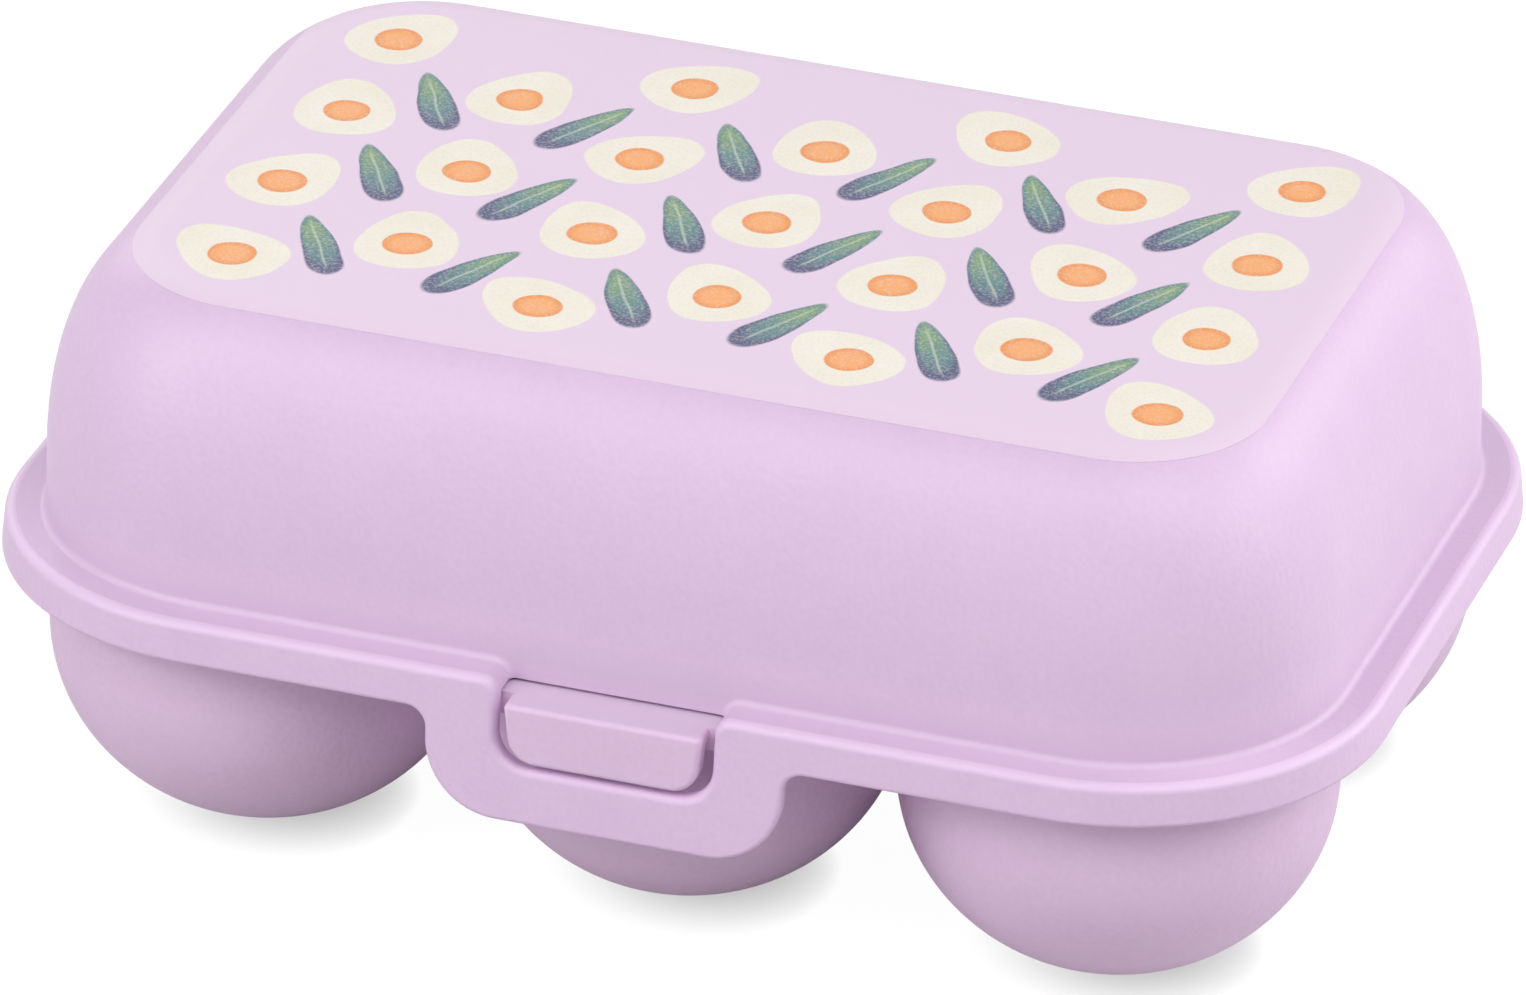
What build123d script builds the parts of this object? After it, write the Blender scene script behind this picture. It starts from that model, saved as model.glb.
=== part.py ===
from build123d import *
import math
import os

# Egg keeper with a flip lid, in millimetres: +X along the long side, -Y towards the
# catch, +Z up. The origin lies on the surface it stands on, under the middle of the
# whole object, hinge and clasp included.

# Egg cups
row_names = ["front", "rear"]
column_names = ["left", "middle", "right"]
cup_radius = 26.0
cup_gap_x = 1.0
cup_gap_y = 2.0
cup_bowl_depth = 23.9
cup_side_height = 10.0
cup_wall = 1.8
foot_radius = 5.0
mouth_round = 0.9

# Tray deck and its turned-down rim
deck_thickness = 1.8
rim_depth = 2.9
rim_thickness = 1.6

# Lid plan and heights
end_margin = 5.5
side_margin = 4.5
seat_gap = 0.3
ledge_thickness = 2.0
ledge_width = 4.8
ledge_edge_round = 1.0
ledge_root_round = 0.8
skirt_thickness = 1.8
skirt_depth = 5.2
skirt_flare = 0.5
skirt_clearance = 0.4
lid_wall = 1.8
lid_wall_height = 8.0
lid_wall_draft = 0.15
shoulder_inset = 13.2
shoulder_height = 26.9

# Printed film on the lid
film_thickness = 0.1
film_overhang = 3.0

# Clasp loop hanging from the lid's front
loop_half_width = 22.0
loop_drop = 12.4
loop_corner_radius = 9.0
loop_root_radius = 2.5
window_half_width = 13.3
window_corner_radius = 4.0
window_top_round = 2.0
loop_bar_height = 6.7

# Catch on the tray
catch_side_gap = 1.6
catch_bottom_gap = 0.8
catch_thickness = 1.6
catch_corner_radius = 3.0
catch_edge_round = 0.7
catch_taper = 0.3

# Hinges at the back
hinge_offset_x = 42.0
hinge_axis_back = 2.5
hinge_axis_below = 1.3
pin_radius = 1.5
pin_clearance = 0.05
knuckle_radius = 3.2
knuckle_length = 14.0
knuckle_end_gap = 0.4
knuckle_mouth = 2.5
ear_thickness = 2.4
ear_radius = 2.6
notch_clearance = 1.2

# Heights and places that follow
cup_pitch_x = 2 * cup_radius + cup_gap_x
cup_pitch_y = 2 * cup_radius + cup_gap_y
lid_half_length = (len(column_names) - 1) * cup_pitch_x / 2 + cup_radius + end_margin
lid_half_width = (len(row_names) - 1) * cup_pitch_y / 2 + cup_radius + side_margin
corner_radius = cup_radius + end_margin
deck_top = cup_bowl_depth + cup_side_height + deck_thickness
ledge_bottom = deck_top + seat_gap
ledge_top = ledge_bottom + ledge_thickness
skirt_bottom = ledge_top - skirt_depth
deck_bottom = deck_top - deck_thickness
rim_bottom = deck_top - rim_depth
wall_top = ledge_top + lid_wall_height
lid_top = wall_top + shoulder_height
core_x = lid_half_length - corner_radius
core_y = lid_half_width - corner_radius
flare_rate = skirt_flare / skirt_depth
skirt_inner_radius = corner_radius + flare_rate * ledge_thickness - skirt_thickness
rim_radius = skirt_inner_radius - skirt_clearance
rim_half_width = core_y + rim_radius
wall_radius = corner_radius - ledge_width
shoulder_radius = wall_radius - lid_wall_draft
crown_radius = shoulder_radius - shoulder_inset
loop_bottom = skirt_bottom - loop_drop
window_bottom = loop_bottom + loop_bar_height
notch_y = lid_half_width - skirt_thickness
hinge_y = lid_half_width + hinge_axis_back
hinge_z = deck_top - hinge_axis_below
front_reach = lid_half_width + flare_rate * (ledge_top - loop_bottom)
back_reach = hinge_y + knuckle_radius
centring = Pos(0, (front_reach - back_reach) / 2, 0)


def outline(points):
    """Closed face through points drawn as (distance outwards, height)."""
    return make_face(Polyline(*points, close=True))


def rounded(face, point, radius):
    """The same face with the corner nearest to a point rounded."""
    corner = face.vertices().sort_by_distance((point[0], point[1], 0))[0]
    return fillet(corner, radius)


def swept_round(face):
    """Carries a section round the lid's plan: four quarter turns and four straight runs."""
    section = Plane.XZ * face
    quarter = revolve(section, axis=Axis.Z, revolution_arc=90)
    end_run = extrude(section, amount=core_y, both=True)
    long_run = extrude(section, amount=core_x, both=True)
    corners = [(1, 1), (-1, 1), (-1, -1), (1, -1)]
    pieces = []
    for turn, (side_x, side_y) in enumerate(corners):
        pieces.append(Pos(side_x * core_x, side_y * core_y, 0) * Rot(0, 0, 90 * turn) * quarter)
    for turn, side in enumerate((1, -1)):
        pieces.append(Pos(side * core_x, 0, 0) * Rot(0, 0, 180 * turn) * end_run)
        pieces.append(Pos(0, side * core_y, 0) * Rot(0, 0, 90 + 180 * turn) * long_run)
    return pieces[0] + pieces[1:]


def block(x_span, y_span, z_span):
    """Box between three pairs of limits."""
    size = [high - low for low, high in (x_span, y_span, z_span)]
    middle = [(high + low) / 2 for low, high in (x_span, y_span, z_span)]
    return Pos(*middle) * Box(*size)


def skirt_face_y(height):
    """How far forward the skirt's outer face stands at a height."""
    return -(lid_half_width + flare_rate * (ledge_top - height))


def front_plate(face, thickness, top, bottom):
    """Cuts a plate of a front-view shape out of a slab that leans like the skirt."""
    near = skirt_face_y(top)
    far = skirt_face_y(bottom)
    slab_side = [(near, top), (far, bottom), (far + thickness, bottom), (near + thickness, top)]
    reach = loop_half_width + 2 * loop_corner_radius
    slab = extrude(Plane.YZ * outline(slab_side), amount=reach, both=True)
    prism = extrude(Plane.XZ * face, amount=2 * front_reach)
    return slab & prism


def bowl_curve(radius, depth):
    """Quarter of an ellipse, from a bowl's lowest point up to where its sides turn straight."""
    bottom = cup_bowl_depth - depth
    return Bezier((0, bottom), (radius, bottom), (radius, cup_bowl_depth), weights=[1, math.sqrt(0.5), 1])


def make_cup():
    """One egg cup: a round bowl with straight sides and a small flat foot."""
    inner_radius = cup_radius - cup_wall
    outside = bowl_curve(cup_radius, cup_bowl_depth)
    inside = bowl_curve(inner_radius, cup_bowl_depth - cup_wall)
    sides = Polyline(outside @ 1, (cup_radius, deck_bottom), (inner_radius, deck_bottom), inside @ 1)
    section = make_face([outside, sides, inside, Line(inside @ 0, outside @ 0)])
    section += Rectangle(foot_radius, cup_wall, align=(Align.MIN, Align.MIN))
    return revolve(Plane.XZ * section, axis=Axis.Z)


def cup_places():
    """Names and centres of the cups, front row first, left to right."""
    for row, row_name in enumerate(row_names):
        for column, column_name in enumerate(column_names):
            x = (column - (len(column_names) - 1) / 2) * cup_pitch_x
            y = (row - (len(row_names) - 1) / 2) * cup_pitch_y
            yield f"{row_name}_{column_name}", x, y


def tray_plan(radius):
    """Plan with round corners about the same four centres as the lid's."""
    return RectangleRounded(2 * (core_x + radius), 2 * (core_y + radius), radius)


def make_deck():
    """Tray deck with its rim, six cup mouths and the four hinge ears."""
    deck = Pos(0, 0, rim_bottom) * extrude(tray_plan(rim_radius), amount=rim_depth)
    recess = tray_plan(rim_radius - rim_thickness)
    deck -= Pos(0, 0, rim_bottom) * extrude(recess, amount=rim_depth - deck_thickness)
    for _, x, y in cup_places():
        deck -= Pos(x, y, deck_top) * Cylinder(cup_radius - cup_wall, 4 * deck_thickness)
    top_rounds = deck.edges().filter_by(GeomType.CIRCLE).group_by(Axis.Z)[-1]
    mouths = top_rounds.filter_by(lambda edge: edge.radius < cup_radius)
    deck = fillet(mouths, mouth_round)
    for x in hinge_places():
        deck += make_ears(x)
    return deck


def hinge_places():
    """The middle of each hinge along the back."""
    return [-hinge_offset_x, hinge_offset_x]


def make_ears(x):
    """Two ears that reach back from the rim and hold a hinge pin's ends."""
    eye = Pos(hinge_y, hinge_z) * Circle(ear_radius)
    root_y = rim_half_width - rim_thickness
    neck = outline([(root_y, rim_bottom), (root_y, deck_top), (hinge_y, deck_top),
                    (hinge_y, hinge_z - ear_radius)])
    blade = extrude(Plane.YZ * (eye + neck), amount=ear_thickness)
    inner_face = knuckle_length / 2 + knuckle_end_gap
    right = Pos(x + inner_face, 0, 0) * blade
    left = Pos(x - inner_face - ear_thickness, 0, 0) * blade
    return right + left


def make_pin(x):
    """Hinge pin that fills the space between a pair of ears."""
    length = knuckle_length + 2 * knuckle_end_gap
    return Pos(x, hinge_y, hinge_z) * Rot(0, 90, 0) * Cylinder(pin_radius, length)


def make_knuckle(x):
    """Lid's half of a hinge: a barrel that snaps over the pin from above, and a web to the ledge."""
    barrel = Pos(hinge_y, hinge_z) * Circle(knuckle_radius)
    web = outline([(notch_y, ledge_bottom), (notch_y, ledge_top), (hinge_y, hinge_z + knuckle_radius),
                   (hinge_y, hinge_z), (hinge_y - knuckle_radius, hinge_z)])
    bore = Pos(hinge_y, hinge_z) * Circle(pin_radius + pin_clearance)
    mouth = Rectangle(knuckle_mouth, 2 * knuckle_radius, align=(Align.CENTER, Align.MAX))
    clip = barrel + web - bore - Pos(hinge_y, hinge_z) * mouth
    return Pos(x, 0, 0) * extrude(Plane.YZ * clip, amount=knuckle_length / 2, both=True)


def shoulder_arc(offset, start=0):
    """The shoulder's quarter ellipse, offset outwards, in the lid's section."""
    middle = Plane(origin=(crown_radius, wall_top, 0))
    return Edge.make_ellipse(shoulder_inset + offset, shoulder_height + offset, middle,
                             start_angle=start, end_angle=90)


def make_window_gap():
    """What the clasp's window takes out of the ledge and skirt, with rolled top corners."""
    half_width = window_half_width + window_top_round
    roll_height = ledge_top - window_top_round
    top = ledge_top + ledge_root_round
    gap = outline([(-window_half_width, skirt_bottom - skirt_depth), (-window_half_width, top),
                   (window_half_width, top), (window_half_width, skirt_bottom - skirt_depth)])
    gap += outline([(-half_width, roll_height), (-half_width, top),
                    (half_width, top), (half_width, roll_height)])
    for side in (-1, 1):
        gap -= Pos(side * half_width, roll_height) * Circle(window_top_round)
    return Pos(0, -core_y - wall_radius, 0) * extrude(Plane.XZ * gap, amount=lid_half_width)


def make_lid():
    """Domed lid: crown, shoulders, wall, ledge and skirt, open at clasp and hinges."""
    outer_arc = shoulder_arc(0)
    inner_arc = shoulder_arc(-lid_wall)
    inner_wall_radius = wall_radius - lid_wall
    outer_run = Polyline((0, lid_top), (crown_radius, lid_top))
    rim_run = Polyline(
        (shoulder_radius, wall_top),
        (wall_radius, ledge_top),
        (corner_radius, ledge_top),
        (corner_radius + skirt_flare, skirt_bottom),
        (corner_radius + skirt_flare - skirt_thickness, skirt_bottom),
        (skirt_inner_radius, ledge_bottom),
        (inner_wall_radius, ledge_bottom),
        (shoulder_radius - lid_wall, wall_top),
    )
    inner_run = Polyline((crown_radius, lid_top - lid_wall), (0, lid_top - lid_wall), (0, lid_top))
    section = make_face([outer_run, outer_arc, rim_run, inner_arc, inner_run])
    section = rounded(section, (corner_radius, ledge_top), ledge_edge_round)
    section = rounded(section, (wall_radius, ledge_top), ledge_root_round)
    crown = block((-core_x, core_x), (-core_y, core_y), (lid_top - lid_wall, lid_top))
    lid = swept_round(section) + crown
    lid -= make_window_gap()
    notch = knuckle_length / 2 + knuckle_end_gap + ear_thickness + notch_clearance
    for x in hinge_places():
        lid -= block((x - notch, x + notch), (notch_y, 2 * lid_half_width),
                     (skirt_bottom - skirt_depth, ledge_top + skirt_depth))
    return lid


def make_loop():
    """Clasp loop: the skirt's tongue with a window that drops over the catch."""
    tongue = outline([
        (-loop_half_width - 2 * loop_root_radius, skirt_bottom),
        (-loop_half_width - 2 * loop_root_radius, skirt_bottom - loop_root_radius),
        (-loop_half_width, skirt_bottom - loop_root_radius),
        (-loop_half_width, loop_bottom),
        (loop_half_width, loop_bottom),
        (loop_half_width, skirt_bottom - loop_root_radius),
        (loop_half_width + 2 * loop_root_radius, skirt_bottom - loop_root_radius),
        (loop_half_width + 2 * loop_root_radius, skirt_bottom),
    ])
    for side in (-1, 1):
        tongue = rounded(tongue, (side * loop_half_width, loop_bottom), loop_corner_radius)
        root = (side * (loop_half_width + loop_root_radius), skirt_bottom - loop_root_radius)
        tongue -= Pos(*root) * Circle(loop_root_radius)
        outside = (side * (loop_half_width + 2 * loop_root_radius), skirt_bottom - loop_root_radius / 2)
        tongue -= Pos(*outside) * Rectangle(2 * loop_root_radius, loop_root_radius)
    window = outline([
        (-window_half_width, ledge_top),
        (-window_half_width, window_bottom),
        (window_half_width, window_bottom),
        (window_half_width, ledge_top),
    ])
    for side in (-1, 1):
        window = rounded(window, (side * window_half_width, window_bottom), window_corner_radius)
    return front_plate(tongue - window, skirt_thickness, skirt_bottom, loop_bottom)


def make_catch():
    """Catch: a hooked tab on the rim that fills the loop's window and holds its bar down."""
    half_width = window_half_width - catch_side_gap
    bottom = window_bottom + catch_bottom_gap
    front_view = outline([
        (-half_width, deck_top),
        (-half_width + catch_taper, bottom),
        (half_width - catch_taper, bottom),
        (half_width, deck_top),
    ])
    for side in (-1, 1):
        front_view = rounded(front_view, (side * half_width, bottom), catch_corner_radius)
    top_y = skirt_face_y(deck_top)
    bottom_y = skirt_face_y(bottom)
    side_view = outline([
        (-rim_half_width, deck_top),
        (top_y, deck_top),
        (bottom_y, bottom),
        (bottom_y + catch_thickness, bottom),
        (top_y + catch_thickness, deck_top - catch_thickness),
        (-rim_half_width, deck_top - catch_thickness),
    ])
    side_view = rounded(side_view, (top_y, deck_top), catch_edge_round)
    hook = extrude(Plane.YZ * side_view, amount=half_width, both=True)
    return hook & extrude(Plane.XZ * front_view, amount=2 * front_reach)


def make_film():
    """Printed film that covers the crown and the start of the shoulders."""
    start = math.degrees(math.acos(film_overhang / shoulder_inset))
    outer = shoulder_arc(film_thickness, start)
    inner = shoulder_arc(0, start)
    edge = Line(inner @ 0, outer @ 0)
    inner_run = Polyline(inner @ 1, (0, lid_top), (0, lid_top + film_thickness), outer @ 1)
    section = make_face([outer, edge, inner, inner_run])
    crown = block((-core_x, core_x), (-core_y, core_y), (lid_top, lid_top + film_thickness))
    return swept_round(section) + crown


def write(name, shape):
    """Centres a sub-part in the object's frame and writes it."""
    export_step(centring * shape, f"parts/{name}.step")


os.makedirs("parts", exist_ok=True)
write("tray_deck", make_deck())
cup = make_cup()
for place, x, y in cup_places():
    write(f"egg_cup_{place}", Pos(x, y, 0) * cup)
write("catch_tab", make_catch())
write("lid_shell", make_lid())
write("clasp_loop", make_loop())
write("lid_film", make_film())
for side, x in zip(("left", "right"), hinge_places()):
    write(f"hinge_pin_{side}", make_pin(x))
    write(f"lid_knuckle_{side}", make_knuckle(x))
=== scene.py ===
import math

import bmesh
import bpy
from mathutils import Matrix, Vector


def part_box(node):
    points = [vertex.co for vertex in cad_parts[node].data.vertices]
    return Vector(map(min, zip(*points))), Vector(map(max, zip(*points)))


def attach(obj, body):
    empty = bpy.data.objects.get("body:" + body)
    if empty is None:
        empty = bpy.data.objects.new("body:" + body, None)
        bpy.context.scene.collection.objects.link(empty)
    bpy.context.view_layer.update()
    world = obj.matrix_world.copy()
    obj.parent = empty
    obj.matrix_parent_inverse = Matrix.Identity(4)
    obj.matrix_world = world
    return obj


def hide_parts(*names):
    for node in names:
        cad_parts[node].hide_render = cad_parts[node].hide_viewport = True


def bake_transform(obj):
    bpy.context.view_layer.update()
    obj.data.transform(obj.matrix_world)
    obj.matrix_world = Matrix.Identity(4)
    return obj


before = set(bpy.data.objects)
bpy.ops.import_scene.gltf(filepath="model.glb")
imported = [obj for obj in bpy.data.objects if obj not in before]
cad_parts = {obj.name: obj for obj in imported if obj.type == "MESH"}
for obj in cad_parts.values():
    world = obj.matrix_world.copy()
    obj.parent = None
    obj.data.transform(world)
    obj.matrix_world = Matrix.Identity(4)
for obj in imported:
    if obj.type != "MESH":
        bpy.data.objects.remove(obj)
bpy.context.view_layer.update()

# --- Egg tray -------------------------------------------------------------------------
# Six round cups hang from a flat deck with a turned-down rim, and two pairs of ears at
# the back hold the hinge pins. The real tray is one injection moulding in matte lilac
# polypropylene, from a tool with a fine spark-eroded texture.

MM = 0.001
TRAY_LILAC = "#E7C8E7"
TRAY_LILAC_WORN = "#E3C4E3"
GRAIN_WIDTH = 0.75          # mm; the real texture is finer, this is as fine as shows
GRAIN_HEIGHT = 0.041        # mm
CLOUD_WIDTH = 9.0           # mm, slow drift of the pigment through the moulding
TONE_MIDDLE = 0.5
TONE_SPREAD = 0.15          # either side of the middle, from the worn colour to the full one
ROUGHNESS_LOW = 0.40
ROUGHNESS_HIGH = 0.46
POLYPROPYLENE_IOR = 1.49


def linear(hex_colour):
    """An sRGB hex colour as the linear RGBA that a shader takes."""
    channels = [int(hex_colour[i:i + 2], 16) / 255 for i in (1, 3, 5)]
    curved = [c / 12.92 if c <= 0.04045 else ((c + 0.055) / 1.055) ** 2.4 for c in channels]
    return (*curved, 1.0)


def add(tree, kind, settings=(), **inputs):
    """Adds a shader node, sets its properties, and fills or links its inputs."""
    node = tree.nodes.new(kind)
    for name, value in dict(settings).items():
        setattr(node, name, value)
    for name, value in inputs.items():
        key = int(name[1:]) if name[0] == "_" else name.replace("_", " ")
        if isinstance(value, bpy.types.NodeSocket):
            tree.links.new(value, node.inputs[key])
        else:
            node.inputs[key].default_value = value
    return node


def moulded_plastic(name, colour, worn_colour):
    """Matte polypropylene: soft broken highlights from the tool's texture, no mirror gloss."""
    material = bpy.data.materials.new(name)
    material.use_nodes = True
    tree = material.node_tree
    shader = tree.nodes["Principled BSDF"]
    place = add(tree, "ShaderNodeTexCoord").outputs["Object"]
    cloud = add(tree, "ShaderNodeTexNoise", Vector=place, Scale=1 / (CLOUD_WIDTH * MM), Detail=2.0)
    grain = add(tree, "ShaderNodeTexNoise", Vector=place, Scale=1 / (GRAIN_WIDTH * MM), Detail=0.5)
    half_cloud = add(tree, "ShaderNodeMath", {"operation": "MULTIPLY"}, _0=cloud.outputs["Fac"],
                     _1=0.5)
    tone = add(tree, "ShaderNodeMath", {"operation": "MULTIPLY_ADD"}, _0=grain.outputs["Fac"],
               _1=0.5, _2=half_cloud.outputs[0])
    colours = add(tree, "ShaderNodeValToRGB", Fac=tone.outputs[0])
    ends = colours.color_ramp.elements
    ends[0].position = TONE_MIDDLE - TONE_SPREAD
    ends[0].color = linear(worn_colour)
    ends[1].position = TONE_MIDDLE + TONE_SPREAD
    ends[1].color = linear(colour)
    tree.links.new(colours.outputs["Color"], shader.inputs["Base Color"])
    relief = add(tree, "ShaderNodeBump", Height=grain.outputs["Fac"], Strength=1.0,
                 Distance=GRAIN_HEIGHT * MM)
    tree.links.new(relief.outputs["Normal"], shader.inputs["Normal"])
    sheen = add(tree, "ShaderNodeMapRange", Value=cloud.outputs["Fac"], To_Min=ROUGHNESS_LOW,
                To_Max=ROUGHNESS_HIGH)
    tree.links.new(sheen.outputs["Result"], shader.inputs["Roughness"])
    shader.inputs["IOR"].default_value = POLYPROPYLENE_IOR
    return material


def dress(piece, material):
    """Gives a piece that one material."""
    piece.data.materials.clear()
    piece.data.materials.append(material)


tray_plastic = moulded_plastic("lilac_polypropylene_tray", TRAY_LILAC, TRAY_LILAC_WORN)
for name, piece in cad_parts.items():
    if name == "tray_deck" or name.startswith(("egg_cup", "hinge_pin")):
        dress(piece, tray_plastic)

# --- Lid ------------------------------------------------------------------------------
# A domed cover of the same polypropylene, 1.8 mm thick: flat crown, long round shoulders,
# nearly upright wall, a narrow ledge and a turned-down skirt that laps the tray's rim.
# The clasp's tongue is moulded on at the front, with a window through tongue and ledge.

LID_LILAC = "#E4C7E7"
LID_LILAC_WORN = "#E1C3E4"
LID_PAINTED_HIGHLIGHT = "#E9CEEC"      # painted highlight along the ledge's outer edge
LID_PAINTED_SHADE = "#DBC1DE"        # painted shade over the ledge and the hollow along the wall's foot
HIGHLIGHT_WIDTH = 1.2             # mm in from the ledge's edge, and down from its top
HIGHLIGHT_DEPTH = 0.75
HIGHLIGHT_FADE = 0.4
SHADE_FADE = 4.5             # mm up the wall
LID_WALL = 1.8              # mm, as are all sizes in this section
LEDGE_THICKNESS = 1.9
LEDGE_WIDTH = 4.8
SKIRT_DEPTH = 5.2
SKIRT_FLARE = 0.5
WALL_HEIGHT = 8.0
WALL_DRAFT = 0.15
SHOULDER_INSET = 13.2
CORNER_RADIUS = 32.0        # at the skirt's lower edge
CORNER_STEPS = 32
SHOULDER_STEPS = 24
LEDGE_ROUND = 1.0           # also the window's lip
ROOT_ROUND = 0.8
EDGE_ROUND = 0.7            # round the skirt's and the tongue's lower edge, outside
INNER_EDGE_ROUND = 0.4
SMOOTH_ANGLE = math.radians(35)
TONGUE_HALF_WIDTH = 22.0
TONGUE_DROP = 12.4
TONGUE_CORNER = 9.0
TONGUE_ROOT = 2.5
WINDOW_HALF_WIDTH = 13.3
WINDOW_SILL = 7.0           # above the tongue's lower edge
WINDOW_CORNER = 4.0
WINDOW_TOP_ROUND = 2.0
HINGE_OFFSET = 42.0
NOTCH_HALF_WIDTH = 11.0     # in the skirt, round each hinge
TONGUE_SPLIT = 0.2          # below the skirt's edge, where the tongue becomes its own piece
TONGUE_BEND_END = 4.2
TONGUE_BEND_ROWS = 7

lid_low, lid_high = (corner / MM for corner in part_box("lid_shell"))
half_length = (lid_high.x - lid_low.x) / 2
half_width = (lid_high.y - lid_low.y) / 2
middle_y = (lid_high.y + lid_low.y) / 2
skirt_z = lid_low.z
ledge_z = skirt_z + SKIRT_DEPTH
under_ledge_z = ledge_z - LEDGE_THICKNESS
shoulder_height = lid_high.z - ledge_z - WALL_HEIGHT
flare = SKIRT_FLARE / SKIRT_DEPTH
tongue_z = skirt_z - TONGUE_DROP
wall_y = middle_y - half_width + SKIRT_FLARE + LEDGE_WIDTH


def start(name, place, size):
    """Adds a flat square at its place and size in mm, and opens it for editing."""
    bpy.ops.object.select_all(action="DESELECT")
    bpy.ops.mesh.primitive_plane_add(size=1, location=[c * MM for c in place])
    piece = bpy.context.object
    piece.name = name
    piece.scale = (size[0] * MM, size[1] * MM, 1)
    bpy.ops.object.transform_apply(location=True, rotation=True, scale=True)
    bpy.ops.object.mode_set(mode="EDIT")
    return piece


def choose(piece, kind, wanted):
    """In edit mode, selects only the faces, edges or points that pass a test in mm."""
    bpy.ops.mesh.select_mode(type=kind)
    bpy.ops.mesh.select_all(action="DESELECT")
    mesh = bmesh.from_edit_mesh(piece.data)
    for item in {"VERT": mesh.verts, "EDGE": mesh.edges, "FACE": mesh.faces}[kind]:
        if kind == "VERT":
            passes = wanted(item.co / MM)
        elif kind == "FACE":
            passes = wanted(item.calc_center_median() / MM, item.normal)
        else:
            passes = wanted(item.verts[0].co / MM, item.verts[1].co / MM)
        if passes:
            item.select_set(True)
    bmesh.update_edit_mesh(piece.data)


def bevel(piece, kind, wanted, radius, steps):
    """Rounds the chosen edges to a radius in mm."""
    choose(piece, kind, wanted)
    bpy.ops.mesh.bevel(offset=radius * MM, offset_type="OFFSET", segments=steps, profile=0.5,
                       affect="VERTICES" if kind == "VERT" else "EDGES", clamp_overlap=False)


def cut(piece, tool):
    """Takes the tool's volume out of the piece, and throws the tool away."""
    bpy.ops.object.select_all(action="DESELECT")
    bpy.context.view_layer.objects.active = piece
    modifier = piece.modifiers.new("cut", "BOOLEAN")
    modifier.operation = "DIFFERENCE"
    modifier.solver = "EXACT"
    modifier.object = tool
    bpy.ops.object.modifier_apply(modifier=modifier.name)
    bpy.data.objects.remove(tool)


def near(value, target, slack=0.02):
    """Whether a measure in mm lies at a target."""
    return abs(value - target) < slack


lid = start("lid_moulding", (0, middle_y, skirt_z), (2 * half_length, 2 * half_width))
bevel(lid, "VERT", lambda p: True, CORNER_RADIUS, CORNER_STEPS)
steps = [(SKIRT_FLARE, SKIRT_DEPTH), (LEDGE_WIDTH, 0), (WALL_DRAFT, WALL_HEIGHT)]
angles = [math.pi / 2 * step / SHOULDER_STEPS for step in range(SHOULDER_STEPS + 1)]
for low, high in zip(angles, angles[1:]):
    steps.append((SHOULDER_INSET * (math.cos(low) - math.cos(high)),
                  shoulder_height * (math.sin(high) - math.sin(low))))
for inward, upward in steps:
    choose(lid, "FACE", lambda p, n: abs(p.x) < 0.1 and near(p.y, middle_y, 0.1))
    bpy.ops.mesh.inset(thickness=inward * MM, depth=upward * MM, use_boundary=True,
                       use_even_offset=True)
bpy.ops.object.mode_set(mode="OBJECT")
wall = lid.modifiers.new("wall", "SOLIDIFY")
wall.thickness = LID_WALL * MM
wall.offset = -1
wall.use_even_offset = True
bpy.ops.object.modifier_apply(modifier=wall.name)

bpy.ops.object.mode_set(mode="EDIT")
for now, height in ((ledge_z - LID_WALL, under_ledge_z), (skirt_z, skirt_z)):
    choose(lid, "VERT", lambda p: near(p.z, now, 0.3) and not near(p.z, ledge_z))
    bpy.ops.transform.resize(value=(1, 1, 0), center_override=(0, 0, height * MM))


def front_rim(p, n):
    """The skirt's lower edge where it runs straight along the front."""
    return near(p.z, skirt_z) and abs(p.x) < 1.5 * TONGUE_HALF_WIDTH and p.y < middle_y


for side in (-1, 1):
    choose(lid, "FACE", front_rim)
    bpy.ops.mesh.bisect(plane_co=(side * TONGUE_HALF_WIDTH * MM, 0, 0), plane_no=(1, 0, 0))
choose(lid, "FACE", lambda p, n: front_rim(p, n) and abs(p.x) < 1)
bpy.ops.mesh.extrude_region_move(
    TRANSFORM_OT_translate={"value": (0, -flare * TONGUE_DROP * MM, -TONGUE_DROP * MM)})
choose(lid, "EDGE", lambda a, b: near(a.z, skirt_z) and near(b.z, skirt_z) and a.y < middle_y
       and near(abs(a.x - b.x), 2 * TONGUE_HALF_WIDTH))
bpy.ops.mesh.dissolve_edges(use_verts=False)


def tongue_corner(height):
    """Tests for the two edges that run back from the tongue's corners at a height."""
    def wanted(a, b):
        level = near(a.z, height) and near(b.z, height)
        return level and near(abs(a.x), TONGUE_HALF_WIDTH) and near(a.x, b.x)
    return wanted


bevel(lid, "EDGE", tongue_corner(tongue_z), TONGUE_CORNER, steps=16)
bevel(lid, "EDGE", tongue_corner(skirt_z), TONGUE_ROOT, steps=8)
bpy.ops.object.mode_set(mode="OBJECT")


def block(x_span, y_span, z_span):
    """Adds a box between three pairs of limits in mm."""
    spans = (x_span, y_span, z_span)
    bpy.ops.object.select_all(action="DESELECT")
    bpy.ops.mesh.primitive_cube_add(size=1, location=[sum(span) / 2 * MM for span in spans])
    box = bpy.context.object
    box.scale = [(span[1] - span[0]) * MM for span in spans]
    bpy.ops.object.transform_apply(location=True, rotation=True, scale=True)
    return box


def runs_back(x, z):
    """Tests for edges that run from front to back this far from the middle at a height."""
    def wanted(a, b):
        return near(abs(a.x), x) and near(a.x, b.x) and near(a.z, z) and near(b.z, z)
    return wanted


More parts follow.
